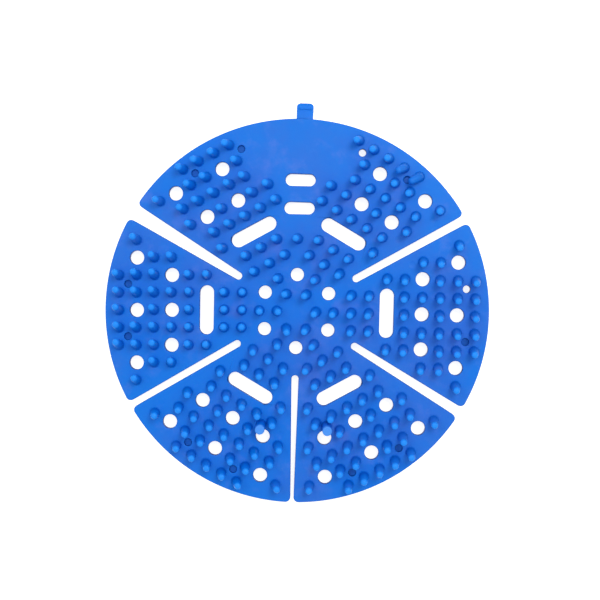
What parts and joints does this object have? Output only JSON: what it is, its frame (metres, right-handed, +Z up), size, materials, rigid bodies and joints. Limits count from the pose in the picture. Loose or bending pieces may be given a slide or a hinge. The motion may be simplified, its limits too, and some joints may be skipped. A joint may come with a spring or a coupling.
{
  "type": "urinal deodorizer screen",
  "caption": "Round flexible urinal screen: flaps with rows of upright splash pins, round and long drain holes, open slots, a bare label field and a grip tab on the rim.",
  "frame": {"origin": "middle of the disc, on the surface that its feet stand on", "axes": "+Z up along the pins, +Y from the middle to the grip tab, +X to the right seen from the pin side"},
  "size_m": [0.175, 0.1822, 0.0135],
  "materials": {
    "mat_vinyl": "satin scented vinyl, blue through and through, slightly translucent"
  },
  "bodies": {
    "root": {"mat": "mat_vinyl"}
  },
  "joints": []
}
